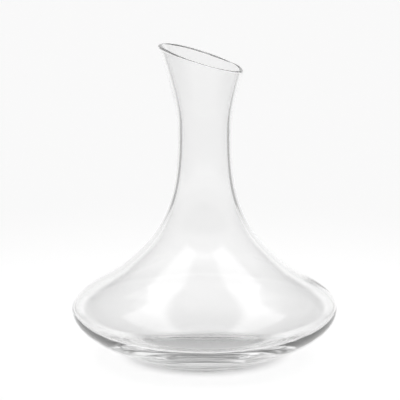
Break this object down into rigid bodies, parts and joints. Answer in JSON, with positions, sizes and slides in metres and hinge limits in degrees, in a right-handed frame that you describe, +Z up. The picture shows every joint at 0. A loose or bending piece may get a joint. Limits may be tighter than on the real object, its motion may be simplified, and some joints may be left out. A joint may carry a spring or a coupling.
{
  "type": "wine decanter",
  "caption": "Clear blown-glass wine decanter with a low wide bowl, a slim neck and a flared mouth cut on a slant for pouring.",
  "frame": {"origin": "centre of the circle that the foot stands on, at table level", "axes": "+Z up along the neck; the pouring tip, the high side of the slanted mouth, points to -X"},
  "size_m": [0.2, 0.2, 0.2384],
  "materials": {
    "clear_glass": "clear, fire-polished"
  },
  "bodies": {
    "root": {"foot_ring": "clear_glass", "punt": "clear_glass", "lower_bowl": "clear_glass", "upper_bowl": "clear_glass", "shoulder": "clear_glass", "neck": "clear_glass", "mouth": "clear_glass", "lip": "clear_glass"}
  },
  "joints": []
}
